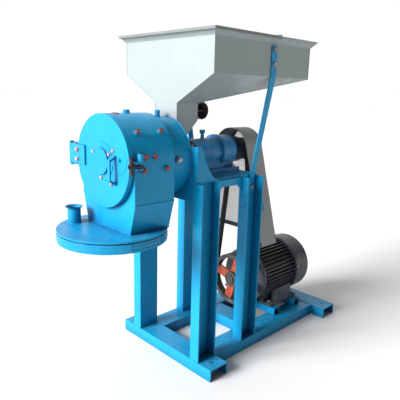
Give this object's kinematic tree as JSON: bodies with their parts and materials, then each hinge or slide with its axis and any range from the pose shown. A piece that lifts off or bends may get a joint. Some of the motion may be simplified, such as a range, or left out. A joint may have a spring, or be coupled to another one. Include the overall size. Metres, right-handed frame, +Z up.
{
  "type": "hammer mill",
  "caption": "Belt-driven hammer mill on a welded channel frame, with feed hopper, hinged round door, discharge hood, belt guard and electric motor.",
  "frame": {"origin": "centre of the floor rectangle that the whole machine covers", "axes": "+Z up, +Y along the shafts from the mill's door to the motor, +X to the right seen from the door"},
  "size_m": [0.56, 1.34, 1.308],
  "materials": {
    "blue_enamel": "glossy enamel",
    "blue_casting": "enamel over rough casting",
    "hopper_grey": "pale semi-gloss paint on sheet",
    "cover_grey": "dark grey paint",
    "guard_grey": "pale grey paint on sheet",
    "guard_dark": "dark grey paint",
    "motor_charcoal": "satin charcoal paint",
    "belt_rubber": "matt moulded rubber",
    "pulley_iron": "turned cast iron",
    "pulley_orange": "orange primer on spokes, bare rim",
    "shaft_steel": "turned steel",
    "bolt_red": "red painted hexagon heads",
    "navy_casting": "dark navy enamel over rough casting",
    "bolt_pale": "faded pinkish paint over zinc",
    "bolt_steel": "zinc plated",
    "wear_iron": "worn bare iron",
    "dark_steel": "oiled black steel"
  },
  "bodies": {
    "root": {"air_inlet": "cover_grey", "base_cross_channels": "blue_enamel", "base_middle_channel": "blue_enamel", "base_side_rails": "blue_enamel", "bearing_covers": "navy_casting", "bearing_housing": "blue_casting", "bearing_seat_plate": "blue_enamel", "casing_shell": "blue_enamel", "clamp_bracket": "blue_enamel", "discharge_hood": "blue_enamel", "discharge_ring": "blue_enamel", "feed_chute": "hopper_grey", "feed_ring": "blue_enamel", "frame_bolts": "bolt_steel", "front_posts": "blue_enamel", "grease_cup": "blue_enamel", "guard_band": "guard_grey", "guard_brackets": "blue_enamel", "guard_mesh": "guard_grey", "guard_stiffener": "guard_dark", "hinge_bracket": "blue_enamel", "hinge_pins": "dark_steel", "hopper_bin": "hopper_grey", "hopper_cover": "cover_grey", "hopper_straps": "blue_enamel", "liner_bolts": "bolt_red", "mill_mounting_plate": "blue_enamel", "motor_fan_cover": "motor_charcoal", "motor_frame": "motor_charcoal", "motor_front_bell": "motor_charcoal", "motor_stator": "wear_iron", "motor_terminal_box": "motor_charcoal", "rear_posts": "blue_enamel", "screen": "wear_iron", "shaft_bearings": "shaft_steel", "side_gussets": "blue_enamel", "slide_rails": "blue_enamel", "tension_screws": "bolt_steel", "toothed_liner": "wear_iron", "top_beams": "blue_enamel", "top_stubs": "blue_enamel", "v_belts": "belt_rubber", "vent_pipe": "blue_enamel"},
    "door": {"door_plate": "blue_enamel", "door_liner": "wear_iron", "door_cap": "blue_enamel", "door_handle": "blue_enamel", "hinge_strap": "blue_enamel", "door_bolts": "bolt_pale"},
    "mill_rotor": {"mill_shaft": "shaft_steel", "rotor_plates": "wear_iron", "rotor_fasteners": "bolt_steel", "hammers": "wear_iron", "mill_pulley": "pulley_iron"},
    "motor_rotor": {"motor_shaft": "shaft_steel", "motor_pulley": "pulley_orange", "motor_fan": "wear_iron"},
    "swing_bolt_arm": {"swing_bolt": "dark_steel"},
    "wing_nut": {"hand_nut": "dark_steel"},
    "damper": {"damper_blade": "shaft_steel"}
  },
  "joints": [
    {"name": "door_hinge", "type": "hinge", "parent": "root", "child": "door", "pos_m": [-0.212, -0.507, 0.856], "axis": [0, 0, -1], "range_deg": [0, 110]},
    {"name": "motor_spin", "type": "hinge", "parent": "root", "child": "motor_rotor", "pos_m": [0, 0.252, 0.226], "axis": [0, 1, 0], "continuous": true},
    {"name": "mill_spin", "type": "hinge", "parent": "root", "child": "mill_rotor", "pos_m": [0, 0.002, 0.85], "axis": [0, 1, 0], "continuous": true},
    {"name": "clamp_swing", "type": "hinge", "parent": "root", "child": "swing_bolt_arm", "pos_m": [0.18, -0.482, 0.852], "axis": [0, 0, 1], "range_deg": [0, 95]},
    {"name": "nut_spin", "type": "hinge", "parent": "swing_bolt_arm", "child": "wing_nut", "pos_m": [0.18, -0.517, 0.852], "axis": [0, 1, 0], "continuous": true},
    {"name": "damper_turn", "type": "hinge", "parent": "root", "child": "damper", "pos_m": [0.014, -0.082, 1.02], "axis": [0, 1, 0], "range_deg": [0, 90]}
  ],
  "couplings": [
    {"joint": "mill_spin", "follows": "motor_spin", "ratio": 2.6818}
  ]
}
